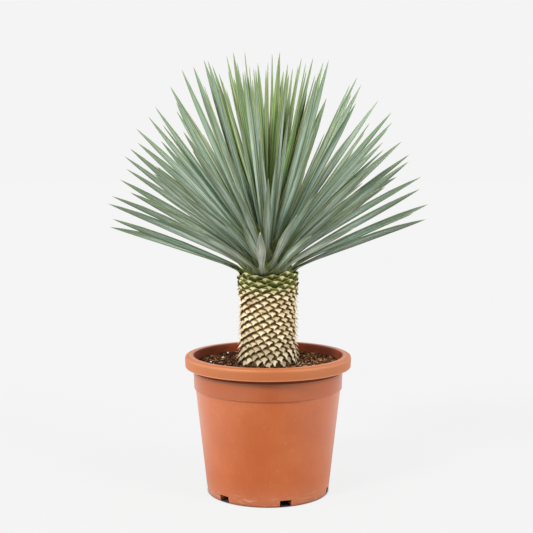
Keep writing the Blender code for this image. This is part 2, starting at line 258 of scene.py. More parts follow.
def setStage():
    s = stageSet
    scene = bpy.context.scene
    camera = bpy.data.objects.new("camera", bpy.data.cameras.new("camera"))
    camera.location = s["cameraPlace"]
    camera.rotation_euler = (math.radians(s["cameraPitch"]), 0, 0)
    camera.data.sensor_width = 36
    camera.data.lens = s["lens"]
    scene.collection.objects.link(camera)
    scene.camera = camera
    scene.view_settings.view_transform = "Standard"

    paint = Paint("paleFloor", Base_Color=s["floorColor"], Roughness=0.9, Specular_IOR_Level=0,
                  Emission_Strength=1.0)
    place = paint.place()
    sideways = paint.axis(place, 0)
    given = paint.limit(abs(sideways), *s["sidesFrom"], 0.0, s["floorSides"])
    given = given * paint.limit(abs(sideways), *s["sidesTo"])
    given = given * paint.limit(sideways, *s["middle"], 1.0, s["rightShare"]) + s["floorGiven"]
    seen = paint.node("LightPath")
    glow = seen * s["floorSeen"] + (1 - seen) * given
    glow = glow * paint.limit(paint.length(place), *s["footShade"])
    paint.plug(paint.shader.inputs["Emission Color"],
               paint.node("CombineColor", None, {0: glow, 1: glow, 2: glow}))
    bm = bmesh.new()
    bmesh.ops.create_grid(bm, x_segments=1, y_segments=1, size=s["floorSize"])
    mesh = bpy.data.meshes.new("floor")
    bm.to_mesh(mesh)
    bm.free()
    mesh.materials.append(paint.material)
    floor = bpy.data.objects.new("floor", mesh)
    scene.collection.objects.link(floor)

    sky = Paint("paleSky", bpy.data.worlds.new("paleSky"), Color=s["backdrop"])
    heading = sky.node("TexCoord")
    soft = sky.limit(sky.axis(heading, 1), *s["skyTurn"], s["skyDim"], s["skyBright"])
    for side, box in ((-1, "leftBox"), (1, "rightBox")):
        start, full = s["boxEdge"]
        soft += sky.limit(sky.axis(heading, 0), side * start, side * full, 0.0, s[box])
    seen = sky.node("LightPath")
    sky.plug(sky.shader.inputs["Strength"], seen + (1 - seen) * soft)
    scene.world = sky.material
    for number, (strength, softness, turn, lift) in enumerate(s["suns"]):
        sun = bpy.data.objects.new(f"sun{number}", bpy.data.lights.new(f"sun{number}", "SUN"))
        sun.data.energy = strength
        sun.data.angle = math.radians(softness)
        away = direction(math.radians(turn), math.radians(lift))
        sun.rotation_euler = away.to_track_quat("Z", "Y").to_euler()
        scene.collection.objects.link(sun)
    print("stage set")


# pot

potSizes = {
    "height": 0.300, "rim": 0.180, "mouth": 0.1614, "rimDepth": 0.026,
    "band": 0.1622, "bandTop": 0.2934, "bandFoot": 0.2275, "body": 0.1572, "foot": 0.131, "wall": 0.0024,
    "innerTop": 0.1598, "innerShoulder": 0.1580, "innerFoot": 0.1296, "floor": 0.016, "underFloor": 0.013,
    "steps": 144, "cutDepth": 0.020,
    "notches": 6, "notchWidth": 0.025, "notchHeight": 0.0145, "firstNotch": 16.0,
    "drains": 8, "drainRadius": 0.007, "drainCircle": 0.088,
    "ribDepth": 0.016, "ribThickness": 0.0022, "ribFoot": 0.0012, "ribInset": 0.0030,
    "shadeFoot": 0.2655,  # the wall has the shaded finish from here up to the rim
}


def potProfile():
    p = potSizes
    top, skirt = p["height"], p["rim"] - 0.0010
    rimFoot = top - p["rimDepth"]
    shadeShare = (p["bandTop"] - p["shadeFoot"]) / (p["bandTop"] - p["bandFoot"] - 0.0012)
    return [
        (p["mouth"], top - 0.0008, 0.0005),  # over the lip
        (p["mouth"] + 0.0035, top, 0.0014),
        (p["rim"] - 0.0050, top - 0.0004, 0.0020),
        (skirt, top - 0.0030, 0.0016),
        (p["rim"], top - 0.0075, 0.0016),
        (skirt, rimFoot + 0.0010, 0.0006),  # round the foot of the rim and up behind it
        (skirt - 0.0009, rimFoot, 0.0004),
        (skirt - 0.0028, rimFoot, 0.0004),
        (p["rim"] - p["wall"] - 0.0004, top - 0.0100, 0.0012),
        (p["rim"] - p["wall"] - 0.0050, top - 0.0062, 0.0010),
        (p["band"], p["bandTop"], 0.0012),  # down the band
        (p["band"] - 0.0018 * shadeShare, p["shadeFoot"], 0),
        (p["band"] - 0.0018, p["bandFoot"] + 0.0012, 0.0006),
        (p["band"] - 0.0030, p["bandFoot"], 0.0004),
        (p["body"], p["bandFoot"] - 0.0006, 0.0004),  # down the body
        (p["foot"] + 0.0023, 0.0110, 0.0040),
        (p["foot"], 0.0, 0.0010),  # round the foot and under the floor
        (p["foot"] - 0.0035, 0.0, 0.0006),
        (p["foot"] - 0.0020, p["underFloor"], 0.0008),
        (0.0, p["underFloor"], 0),
        (0.0, p["floor"], 0),  # over the floor and up the inner wall
        (p["innerFoot"], p["floor"], 0.0010),
        (p["body"] - p["wall"], p["bandFoot"] - 0.0006, 0.0020),
        (p["innerShoulder"], p["bandFoot"] + 0.0020, 0.0020),
        (p["innerTop"], top - 0.0060, 0.0010),
    ]


def block(bm, size, place, turn):
    made = bmesh.ops.create_cube(bm, size=1.0)["verts"]
    bmesh.ops.scale(bm, vec=size, verts=made)
    bmesh.ops.translate(bm, vec=place, verts=made)
    bmesh.ops.rotate(bm, matrix=Matrix.Rotation(turn, 3, "Z"), verts=made)


def cutAway(piece, cutter):
    tool = bpy.data.meshes.new("cutter")
    cutter.to_mesh(tool)
    cutter.free()
    helper = bpy.data.objects.new("cutter", tool)
    bpy.context.scene.collection.objects.link(helper)
    cut = piece.modifiers.new("cut", "BOOLEAN")
    cut.operation = "DIFFERENCE"
    cut.object = helper
    cut.solver = "EXACT"
    graph = bpy.context.evaluated_depsgraph_get()
    mesh = bpy.data.meshes.new_from_object(piece.evaluated_get(graph))
    piece.modifiers.clear()
    piece.data = mesh
    bpy.data.objects.remove(helper)


def makePot():
    p = potSizes
    paint = potPaint()
    pot = finished(turnedShape(potProfile(), p["steps"]), "nurseryPot", paint, "pot", "pot")
    notchTurns = [math.radians(p["firstNotch"] + k * 360 / p["notches"]) for k in range(p["notches"])]
    cutter = bmesh.new()
    for turn in notchTurns:
        block(cutter, (p["notchWidth"], p["cutDepth"], 2 * p["notchHeight"]), (0, -p["foot"], 0), turn)
    for k in range(p["drains"]):
        turn = 2 * math.pi * (k + 0.5) / p["drains"]
        made = bmesh.ops.create_cone(cutter, cap_ends=True, segments=24, radius1=p["drainRadius"],
                                     radius2=p["drainRadius"], depth=p["cutDepth"])["verts"]
        place = (p["drainCircle"] * math.cos(turn), p["drainCircle"] * math.sin(turn), p["floor"])
        bmesh.ops.translate(cutter, vec=place, verts=made)
    cutAway(pot, cutter)
    # the inner wall and the hollow under the rim get a darker copy of the plastic: painted shade
    pot.data.materials.append(innerShadePaint().material)
    for face in pot.data.polygons:
        flat = Vector((face.center.x, face.center.y, 0))
        radius, height = flat.length, face.center.z
        facesIn = face.normal.dot(flat.normalized()) < -0.3
        innerWall = facesIn and radius < p["mouth"] + 0.0002 and p["floor"] < height < p["height"] - 0.0004
        behindRim = p["mouth"] < radius < p["rim"] - 0.0025
        behindRim = behindRim and p["shadeFoot"] < height < p["bandTop"] + 0.0002
        if innerWall or behindRim:
            face.material_index = 1
    pot.data.shade_smooth()
    pot.data.set_sharp_from_angle(angle=math.radians(32))
    ribs = bmesh.new()
    depth, height = p["ribDepth"], p["underFloor"] - p["ribFoot"]
    for turn in notchTurns:
        for side in (-1, 1):
            across = side * (p["notchWidth"] / 2 + p["ribThickness"] / 2)
            place = (across, -p["foot"] + p["ribInset"] + depth / 2, p["ribFoot"] + height / 2)
            block(ribs, (p["ribThickness"], depth, height), place, turn)
    bmesh.ops.bevel(ribs, geom=ribs.edges[:], offset=0.0003, offset_type="OFFSET", segments=1,
                    profile=0.5, affect="EDGES", clamp_overlap=True, material=-1)
    finished(ribs, "footRibs", paint, "pot", None, 40)
    print("pot made")


potColors = {
    "plastic": ((0.32, (0.386, 0.073, 0.013)), (0.52, (0.434, 0.090, 0.018)),
                (0.72, (0.478, 0.117, 0.031))),
    "flecks": (0.66, 0.22, 0.10),
    "dust": (0.72, 0.42, 0.30),
    "rimWearAndShade": (0.32, 0.092, 0.014),
    "footContactShade": (0.13, 0.040, 0.016),
    "inner": ((0.120, 0.017, 0.004), (0.28, 0.062, 0.022)),
}
# painted light on the pot: heights and radii over which it comes in, strength and colour
potPaintedLight = (
    ((0.2275, 0.2295), (0.1660, 0.1640), 0.46, (0.22, 0.034, 0.006)),  # painted shade on the band
    ((0.260, 0.270), (0.1650, 0.1630), 0.75, (0.15, 0.026, 0.008)),  # top of the band, in the rim's shade
    ((0.2775, 0.2755), (0.172, 0.176), 0.50, (0.72, 0.25, 0.115)),  # painted highlight along the foot of the rim
)


def potPaint():
    c = potColors
    paint = Paint("terracottaPlastic", Specular_IOR_Level=1.0, Specular_Tint=(1.0, 0.92, 0.73, 1.0),
                  Sheen_Weight=0.14, Sheen_Roughness=0.4, Sheen_Tint=(1.0, 0.84, 0.62, 1.0))
    place = paint.place()
    broad = paint.noise(place, 9.0, 3.0, 0.55)
    fine = paint.noise(place, 130.0, 3.0, 0.6)
    drawn = paint.noise(paint.stretched((60.0, 60.0, 4.0), place), 6.0, 4.0, 0.6)
    scuff = paint.noise(paint.stretched((1.0, 1.0, 5.0), place), 38.0, 5.0, 0.7)
    height = paint.axis(place, 2)
    around = paint.length(paint.stretched((1.0, 1.0, 0.0), place))
    color = paint.ramp(broad * 0.7 + drawn * 0.3, c["plastic"])
    color = paint.blend(paint.limit(fine, 0.60, 0.80, 0.0, 0.30), color, c["flecks"])
    dusty = paint.limit(scuff, 0.63, 0.80, 0.0, 0.24) + paint.limit(height, 0.060, 0.005) * 0.10
    dusty += paint.limit(height, 0.030, 0.004) * paint.limit(scuff, 0.50, 0.70, 0.0, 0.6)
    color = paint.blend(dusty, color, c["dust"])
    # the rim is made darker: partly handled wear, partly painted shade
    rimWearAndShade = paint.limit(around, 0.168, 0.174) * (0.38 + 0.40 * broad)
    color = paint.blend(rimWearAndShade, color, c["rimWearAndShade"])
    # painted shade on the band and under the rim, and a painted highlight on the rim's foot
    for heights, radii, strength, tone in potPaintedLight:
        part = paint.limit(height, *heights) * paint.limit(around, *radii)
        color = paint.blend(part * strength, color, tone)
    # painted contact shadow: darker along the bottom edge of the foot
    color = paint.blend(paint.limit(height, 0.0045, 0.0008) * 0.55, color, c["footContactShade"])
    roughness = 0.24 + broad * 0.08 + fine * 0.10 + rimWearAndShade * 0.4
    return paint.finish(color, roughness, fine * 0.6 + drawn * 0.4, 0.0004, 0.25)


def innerShadePaint():
    # a darker, duller copy of the plastic: painted shade inside the pot and under the rim
    paint = Paint("shadedPlastic", Specular_IOR_Level=0.15)
    broad = paint.noise(paint.place(), 30.0, 4.0, 0.6)
    return paint.finish(paint.blend(broad, *potColors["inner"]), 0.65 + broad * 0.2, broad, 0.0004, 0.3)


# potting mix

soilSizes = {
    "gap": 0.0003, "level": 0.2816, "buried": 0.049, "hole": 0.205, "steps": 168, "rings": 56,
    "relief": 0.0022, "ring": 0.074, "ringFade": 0.02, "grit": 0.0012, "gritScale": 90, "sunk": 0.0004,
    "litter": (0.064, 0.154),  # from the trunk to the wall
    "paintedLightRight": 0.17,  # painted light: how much lighter the litter is made at the right
    "paintedLightFrom": (0.02, 0.10),
}
# what lies on the mix: how many, size, its three scales, then the darkest shade and the span of shades
litterKinds = {
    "crumb": (1500, (0.0009, 0.0026), ((0.6, 1.2), (0.6, 1.2), (0.6, 1.2)), 0.0, 0.55),
    "chip": (420, (0.0010, 0.0028), (1, (0.4, 0.8), (0.16, 0.34)), 0.0, 0.85),
    "sliver": (900, 1, ((0.0020, 0.0075), (0.0004, 0.0010), (0.0003, 0.0006)), 0.30, 0.60),
    "grain": (15, (0.0008, 0.0014), (1, (0.7, 1), (0.6, 0.9)), 0.0, 1.0),
}
# white grains that show on the mix: place and size
grainSpots = ((-0.0912, 0.1136, 0.0021), (-0.1005, 0.0623, 0.0028), (-0.1241, 0.0015, 0.0022))


def soilHeight(x, y):
    s = soilSizes
    lumps = math.sin(61 * x + 1.3) * math.cos(53 * y) + 0.7 * math.sin(97 * (x + y))
    lumps += 0.5 * math.cos(143 * (x - y))
    away = min(1.0, max(0.0, (math.hypot(x, y) - s["ring"]) / s["ringFade"]))
    rough = noise.fractal(Vector((x, y, 0.3)) * s["gritScale"], 0.8, 2.2, 4)
    return s["level"] + away * s["relief"] * (lumps / 2.2 - 0.6) + s["grit"] * rough - s["sunk"]


def makeSoil():
    s, p = soilSizes, potSizes
    gap = s["gap"]
    hole = s["buried"] + gap
    wall, shoulder = p["body"] - p["wall"], p["bandFoot"] - 0.0006
    wallTop = p["innerShoulder"] - 2 * gap
    wallFoot = mix(p["innerFoot"], wall, gap / (shoulder - p["floor"]))
    profile = [(0.0, s["hole"] - gap, 0), (hole, s["hole"] - gap, 0), (hole, s["level"], 0)]
    for k in range(s["rings"] + 1):
        profile.append((hole + 0.001 + (wallTop - hole) * k / s["rings"], s["level"], 0))
    profile += [
        (wallTop, p["bandFoot"] + 0.0024, 0),
        (wall - 2 * gap, shoulder, 0),
        (wallFoot - 2 * gap, p["floor"] + gap, 0),
        (0.0, p["floor"] + gap, 0),
    ]
    bm = turnedShape(profile, s["steps"])
    for vert in bm.verts:
        if abs(vert.co.z - s["level"]) < 1e-6 and math.hypot(vert.co.x, vert.co.y) > hole + 0.0005:
            vert.co.z = soilHeight(vert.co.x, vert.co.y)
    finished(bm, "pottingMix", soilPaint(), "soil", "soil")
    makeLitter()
    print("potting mix made")


def within(span, rng):
    return rng.uniform(*span) if isinstance(span, tuple) else span


def makeLitter():
    s = soilSizes
    rng = random.Random(21)
    crumb, chip, grain = bmesh.new(), bmesh.new(), bmesh.new()
    bmesh.ops.create_icosphere(crumb, subdivisions=1, radius=1)
    bmesh.ops.create_cube(chip, size=2)
    bmesh.ops.create_icosphere(grain, subdivisions=2, radius=1)
    shapes = {"crumb": template(crumb), "chip": template(chip), "grain": template(grain)}
    shapes["sliver"] = shapes["chip"]
    litter, grains = newShell(("tint",)), newShell(("tint",))
    for kind, (count, sizes, scales, darkest, shades) in litterKinds.items():
        bm, rough, lowest = (grains, 0.12, 0.3) if kind == "grain" else (litter, 0.28, -0.2)
        for k in range(count):
            radius = math.sqrt(rng.uniform(s["litter"][0]**2, s["litter"][1]**2))
            turn = rng.uniform(0, 2 * math.pi)
            x, y = radius * math.cos(turn), radius * math.sin(turn)
            shade = darkest + shades * rng.random()
            size = within(sizes, rng)
            if kind == "grain" and k < len(grainSpots):
                x, y, size = grainSpots[k]
            scale = [size * within(share, rng) for share in scales]
            # painted light: the litter is made lighter towards the right
            shade += s["paintedLightRight"] * ease(*s["paintedLightFrom"], x)
            tilt = Matrix.Rotation(rng.uniform(-0.5, 0.5), 3, "X")
            tilt = tilt @ Matrix.Rotation(rng.uniform(-0.45, 0.45), 3, "Y")
            turned = Matrix.Rotation(rng.uniform(0, 6.3), 3, "Z") @ tilt @ Matrix.Diagonal(scale)
            raised = rng.uniform(lowest, 0.7) * max(scale[1], scale[2])
            spot = Vector((x, y, soilHeight(x, y) + raised))

            def moved(co):
                return spot + turned @ (co + Vector([rng.uniform(-rough, rough) for axis in range(3)]))

            addCopy(bm, shapes[kind], moved, tint=shade)
    finished(litter, "barkAndCrumbs", litterPaint(), "soil", None, 30)
    finished(grains, "perliteGrains", perlitePaint(), "soil", None, None)


soilColors = {
    "mix": ((0.42, (0.005, 0.002, 0.001)), (0.56, (0.048, 0.018, 0.007)), (0.72, (0.19, 0.080, 0.032))),
    "bark": ((0.0, (0.006, 0.003, 0.001)), (0.38, (0.060, 0.021, 0.007)), (0.70, (0.24, 0.100, 0.038)),
             (1.0, (0.62, 0.38, 0.20))),
    "perlite": ((0.76, 0.73, 0.66), (0.93, 0.92, 0.88)),
}


def soilPaint():
    paint = Paint("pottingMix", Specular_IOR_Level=0.08)
    place = paint.place()
    coarse = paint.noise(place, 55.0, 5.0, 0.65)
    fine = paint.noise(place, 320.0, 4.0, 0.7)
    color = paint.ramp(coarse * 0.55 + fine * 0.45, soilColors["mix"])
    return paint.finish(color, 0.85 + fine * 0.1, coarse * 0.5 + fine * 0.5, 0.003, 1.0)


def litterPaint():
    paint = Paint("barkCrumbs", Specular_IOR_Level=0.10)
    grain = paint.noise(paint.place(), 420.0, 3.0, 0.6)
    color = paint.ramp(paint.value("tint") + (grain - 0.5) * 0.35, soilColors["bark"])
    return paint.finish(color, 0.8 + grain * 0.15, grain, 0.0008, 0.8)


def perlitePaint():
    paint = Paint("perlite", Specular_IOR_Level=0.3)
    pits = paint.noise(paint.place(), 900.0, 3.0, 0.6)
    return paint.finish(paint.blend(pits, *soilColors["perlite"]), 0.75 + pits * 0.2, pits, 0.0004, 0.8)


# trunk and the spiral of old leaf bases

trunkSizes = {
    "radius": 0.054, "top": 0.452, "buried": 0.049, "foot": 0.205, "soil": 0.2819,
    "fibre": 0.0586, "fibreTop": 0.444,  # the core that shows between the bases
    "rise": 0.000515, "first": 0.288, "last": 0.484,  # the spiral's step, lowest and highest base
    "opening": (0.446, 0.462), "opened": 0.4,  # where the step grows, and by what share
    "green": (0.424, 0.460), "loose": (0.340, 0.290), "aged": (0.375, 0.295),  # heights, from none to all; the aged tone low down is partly painted shade
    # a base's own sizes: a pair is for a dry base and a green one
    "width": 0.0178, "arch": 0.0025, "bulge": 0.0009,
    "drop": (0.0070, 0.0052), "lip": (0.0604, 0.0652), "point": (0.0674, 0.0658),
    "dryCurve": 0.13, "greenCurve": 0.12, "greenSlope": 0.0012,
}

# corners of a leaf base: share of the half width across, of the arch upwards and of the drop downwards
baseCorners = (
    (-1.00, -0.25, 0.05), (-0.58, 0.70, 0.0), (0.0, 1.0, 0.0), (0.58, 0.70, 0.0),
    (1.00, -0.25, 0.05), (0.44, 0.0, 0.42), (0.0, 0.0, 1.0), (-0.44, 0.0, 0.42),
)
# strips behind a dry cut: width, distance out, more of it at the point, height and share of the slope
dryStrips = ((1.0, 0.0584, 0.0045, 0.0022, 0.6), (0.86, 0.0540, 0.0015, 0.0085, 0.3))
# and behind a green one: width, distance out, more of it at the edges, drop and less of it at the edges
greenStrips = ((2.30, 0.0594, 0.0042, 0.0105, 0.0060), (2.50, 0.0535, 0.0, 0.0270, 0.0))


def numberedRing(bm, count):
    # corners in order, with their numbers for x
    uv = bm.loops.layers.uv.new("shape")
    ring = bmesh.ops.create_circle(bm, cap_ends=False, segments=count, radius=1)["verts"]
    ring.sort(key=lambda v: math.atan2(v.co.y, v.co.x))
    for number, vert in enumerate(ring):
        vert.co = (number, 0, 0)
    return uv, list(bm.edges)


def nextRing(bm, edges):
    grown = bmesh.ops.extrude_edge_only(bm, edges=edges)["geom"]
    ring = [item for item in grown if isinstance(item, bmesh.types.BMVert)]
    edges = [item for item in grown if isinstance(item, bmesh.types.BMEdge)]
    return ring, [edge for edge in edges if all(v in ring for v in edge.verts)]


def baseTemplate():
    # a face with a raised middle, and a body in two strips behind it: z is the depth
    bm = bmesh.new()
    uv, front = numberedRing(bm, len(baseCorners))
    edges = front
    for depth in (1, 2):
        ring, edges = nextRing(bm, edges)
        for vert in ring:
            vert.co.z = depth
    bmesh.ops.contextual_create(bm, geom=edges)
    body = list(bm.faces)
    face = bmesh.ops.contextual_create(bm, geom=front)["faces"]
    middle = bmesh.ops.poke(bm, faces=face)["verts"][0]
    middle.co = (-1, 0, 0)
    for item in bm.faces:
        for loop in item.loops:
            if item in body:
                loop[uv].uv = (0.5 + 0.5 * baseCorners[round(loop.vert.co.x)][0], 1 - 0.5 * loop.vert.co.z)
            else:
                loop[uv].uv = (0.5, 2.0 if loop.vert == middle else 1.05)
    return template(bm)


def addBase(bm, original, turn, height):
    # a dry base is a tile that hangs from above its cut, a green one a broad scale that stands below it
    t = trunkSizes
    rng = random.Random(round(height * 1e6))
    green = ease(*t["green"], height + rng.uniform(-0.006, 0.006))
    loose = ease(*t["loose"], height)  # the lowest bases are ragged and hang
    out = direction(turn, 0)
    across = Vector((math.cos(turn), math.sin(turn), 0))
    centre = Vector((0, 0, height))
    centre.z += rng.uniform(-0.0008, 0.0008) * (1 + green)
    full = 0.5 * t["width"] * rng.uniform(0.92, 1.05)
    half = full * (1 - green * rng.uniform(-0.10, 0.36) - 0.06 * loose)
    arch = t["arch"] * rng.uniform(0.8, 1.2) * (1 - green * rng.uniform(0.1, 0.6))
    drop = mix(*t["drop"], green) * rng.uniform(0.86, 1.12) * (1 + loose * rng.uniform(0.2, 0.9))
    lip = mix(*t["lip"], green) + rng.uniform(-0.0009, 0.0009) * (1 + green)
    point = mix(*t["point"], green) + rng.uniform(-0.0014, 0.0010) + loose * rng.uniform(-0.001, 0.004)
    roll = rng.uniform(-0.10, 0.10) * (1 + 2.0 * loose + 1.5 * green)
    shade = rng.random()

    def corner(number, depth):
        sideways, upward, downward = baseCorners[number]
        a, b = half * sideways, arch * upward - drop * downward
        a, b = a * math.cos(roll) - b * math.sin(roll), a * math.sin(roll) + b * math.cos(roll)
        if depth == 0:
            return centre + out * mix(lip, point, downward) + across * a + up * b
        share, distance, pointOut, rise, slope = dryStrips[depth - 1]
        wide = share * half * sideways
        hung = centre + out * (distance + pointOut * downward)
        hung += across * wide + up * (rise + slope * b)
        hung -= out * wide * wide / t["dryCurve"]
        share, distance, edgeOut, fall, edgeRise = greenStrips[depth - 1]
        wide, edge = share * full * sideways, abs(sideways)
        stood = centre + out * (distance + edgeOut * edge + t["greenSlope"] * (downward - upward))
        stood += across * wide - up * (fall - edgeRise * edge + t["greenSlope"] * downward)
        stood -= out * wide * wide / t["greenCurve"]
        return hung.lerp(stood, green)

    def moved(co):
        number, depth = round(co.x), round(co.z)
        if number < 0:
            corners = [corner(k, 0) for k in range(len(baseCorners))]
            return sum(corners, Vector()) / len(corners) + out * t["bulge"]
        return corner(number, depth)

    addCopy(bm, original, moved, tint=shade, fresh=green, aged=ease(*t["aged"], height))


def basePlaces():
    t = trunkSizes
    places, height = [], t["first"]
    while height < t["last"]:
        places.append((-len(places) * goldenAngle, height))
        height += t["rise"] * (1 + t["opened"] * ease(*t["opening"], height))
    return places


def makeTrunk():
    t = trunkSizes
    original = baseTemplate()
    for name, low, high, node in (("trunkBases", 0.0, t["top"], "trunk"),
                                  ("crownBases", t["top"], 1.0, "leaf_head")):
        bm = newShell(("tint", "fresh", "aged"))
        for turn, height in basePlaces():
            if low <= height < high:
                addBase(bm, original, turn, height)
        bmesh.ops.recalc_face_normals(bm, faces=bm.faces)
        finished(bm, name, basePaint(name), node, node, 38)
    profile = [(0, t["foot"], 0), (t["buried"], t["foot"], 0), (t["buried"], t["soil"], 0),
               (t["fibre"], t["soil"], 0), (t["fibre"], t["fibreTop"], 0), (t["radius"], t["top"], 0),
               (0, t["top"], 0)]
    finished(turnedShape(profile, 48), "trunkFibre", fibrePaint(), "trunk", "trunk", 40)
    print("trunk made")


trunkColors = {
    "cut": ((0.0, (0.28, 0.185, 0.080)), (0.30, (0.45, 0.355, 0.195)), (0.65, (0.62, 0.525, 0.345)),
            (1.0, (0.76, 0.685, 0.50))),
    "cutRim": (0.34, 0.235, 0.09),
    "cutAgedAndShaded": (0.29, 0.225, 0.145),
    "cutGreen": (0.56, 0.49, 0.25),
    "husk": ((0.28, (0.085, 0.044, 0.010)), (0.50, (0.27, 0.170, 0.050)), (0.76, (0.54, 0.40, 0.160))),
    "huskAgedAndShaded": (0.075, 0.045, 0.022),
    "scale": ((0.28, (0.030, 0.042, 0.006)), (0.52, (0.080, 0.098, 0.011)), (0.76, (0.24, 0.25, 0.042))),
    "scaleFootShade": (0.030, 0.042, 0.006),
    "scaleEdge": (0.50, 0.47, 0.12),
    "scaleTop": (0.48, 0.46, 0.13),
    "fibre": ((0.3, (0.040, 0.022, 0.009)), (0.55, (0.115, 0.068, 0.029)), (0.8, (0.26, 0.17, 0.080))),
}


def basePaint(name):
    c = trunkColors
    paint = Paint(name, Specular_IOR_Level=0.3)
    across, along = paint.acrossAlong()
    place = paint.place()
    tint, fresh, aged = paint.value("tint"), paint.value("fresh"), paint.value("aged")
    grain = paint.noise(place, 900.0, 3.0, 0.6)
    blotch = paint.noise(place, 120.0, 3.0, 0.6)
    streaks = paint.noise(paint.stretched((1.0, 1.0, 0.25), place), 520.0, 3.0, 0.6)
    middle = paint.limit(along + blotch * 0.16, 1.12, 1.42)
    cut = paint.ramp(tint * 0.45 + blotch * 0.5 + (grain - 0.5) * 0.3 + 0.12, c["cut"])
    cut = paint.blend((1 - middle) * 0.62, cut, c["cutRim"])
    # the lowest bases are greyer and darker: partly their age, partly painted shade
    cut = paint.blend(aged * (0.85 - tint * 0.55), cut, c["cutAgedAndShaded"])
    cut = paint.blend(fresh * 0.50, cut, c["cutGreen"])
    husk = paint.ramp(streaks * 0.6 + blotch * 0.4, c["husk"])
    husk = paint.blend(aged * 0.6, husk, c["huskAgedAndShaded"])
    scale = paint.ramp(streaks * 0.5 + blotch * 0.5, c["scale"])
    # painted shade on the lower part of each green scale, next to the scale below
    scale = paint.blend(paint.limit(along, 0.86, 0.58) * 0.75, scale, c["scaleFootShade"])
    scale = paint.blend(paint.limit(abs(across * 2.0 - 1.0), 0.72, 0.92) * 0.52, scale, c["scaleEdge"])
    scale = paint.blend(paint.limit(along, 0.80, 0.98) * 0.45, scale, c["scaleTop"])
    body = paint.blend(fresh, husk, scale)
    color = paint.blend(paint.limit(along, 1.0, 1.04), body, cut)
    return paint.finish(color, 0.66 + grain * 0.2, grain * 0.5 + streaks * 0.5, 0.0008, 0.8)


def fibrePaint():
    paint = Paint("trunkFibre", Specular_IOR_Level=0.2)
    strands = paint.noise(paint.stretched((1.0, 1.0, 0.16), paint.place()), 420.0, 4.0, 0.65)
    color = paint.ramp(strands, trunkColors["fibre"])
    return paint.finish(color, 0.85 + strands * 0.1, strands, 0.0015, 1.0)


# leaves

leafSizes = {
    "centre": 0.485, "reach": 0.337, "reachGain": 0.116, "reachPower": 2.2, "shorter": 0.14,
    "headRadius": 0.330, "jitter": 2.6,
    "fill": 154, "lowest": 15.0, "highest": 70.0, "inner": 14, "innerLift": 68.0,
    "lowRoot": (0.040, 0.475), "highRoot": (0.020, 0.548), "roll": (35.0, 62.0),
    "width": 0.0164, "frontWidth": 0.0166, "keelDepth": 0.0048, "channelDepth": 0.0046,
    "arch": 0.007, "bow": 0.016, "twist": 0.30, "taper": 0.40,
    "sheath": ((0.012, 0.013), (0.0065, 0.0060), (0, 0)),  # first rings of a steep leaf, outwards and down
    "stemRadius": 0.024, "stemTop": 0.566,
    "frontClear": 7.0, "outlineClear": 7.0, "outlineDepth": 0.085, "outlineRoll": (50.0, 78.0),
    "lineUp": 3.5, "lineUpReach": (0.16, 0.26), "openFrom": 60.0, "openReach": 0.19,
}
youngSizes = {
    "budRadius": 0.013, "budFoot": 0.548, "budShoulder": 0.570, "budNeck": (0.007, 0.610), "budTop": 0.640,
    "count": 20, "spread": 15.5, "reach": 0.452, "shorter": 0.07, "roll": (20, 70),
    "extra": 26, "extraSpread": 19.0, "extraReach": (0.80, 0.97), "extraRoll": (20, 75),
    "lean": 13, "tries": 12, "clearance": 0.0155, "root": (0.0045, 0.562), "width": 0.0140,
}
# leaves that face the front: turn and lift in degrees, reach in metres, paleness, the root's turn, the
# roll; the paleness is partly the leaves' own grey and partly painted light, as they stand in shade from
# above
frontLeaves = (
    (-2.7, 17.0, 0.340, 1.0, -16, 3), (0.0, 34.4, 0.350, 0.65, -5, -10), (9.9, 22.8, 0.338, 0.80, 0, 10),
    (23.6, 21.3, 0.340, 0.45, 0, -22), (-13.1, 33.2, 0.350, 0.70, 0, 3), (-21.2, 25.7, 0.340, 0.35, 0, -10),
    (-21.4, 16.4, 0.345, 0.60, 0, 10),
)
# leaves that make the outline: lean from upright, left to right, in degrees, and reach in metres
outlineLeaves = (
    (-75, 0.351), (-72, 0.350), (-67, 0.365), (-64, 0.362), (-61, 0.339), (-59, 0.372), (-55, 0.375),
    (-52, 0.393), (-48, 0.384), (-46, 0.390), (-43, 0.410), (-40, 0.360), (-38, 0.413), (-35, 0.426),
    (-30, 0.391), (-28, 0.440), (-23, 0.454), (-20, 0.454), (-17, 0.465), (-16, 0.461), (-11, 0.465),
    (-9, 0.461), (-6, 0.459), (1, 0.453), (3, 0.457), (9, 0.456), (12, 0.462), (15, 0.462), (16, 0.460),
    (19, 0.390), (25, 0.454), (27, 0.446), (33, 0.428), (38, 0.424), (40, 0.409), (41, 0.400),
    (43, 0.374), (46, 0.393), (50, 0.381), (52, 0.374), (55, 0.345), (58, 0.374), (61, 0.358),
    (67, 0.363), (70, 0.342), (72, 0.352),
)
# share along the blade, then width, keel and channel as shares of the full ones
bladeRings = (
    (0.000, 1.90, 1.3, 1.5), (0.045, 1.75, 1.3, 1.3), (0.090, 1.10, 1.0, 0.9), (0.140, 0.68, 0.9, 0.7),
    (0.190, 0.60, 0.9, 0.8),
    (0.320, 0.78, 1.0, 1.0), (0.480, 1.00, 1.0, 1.0), (0.640, 0.96, 0.9, 0.9), (0.790, 0.78, 0.75, 0.7),
    (0.910, 0.43, 0.5, 0.3), (0.972, 0.17, 0.3, 0.0),
)
# corners of the blade's section: across, and how much of the channel and of the keel it sits at
bladeCorners = ((1.0, 0, 0), (0.0, 1, 0), (-1.0, 0, 0), (-0.55, 0, 0.62), (0.0, 0, 1), (0.55, 0, 0.62))


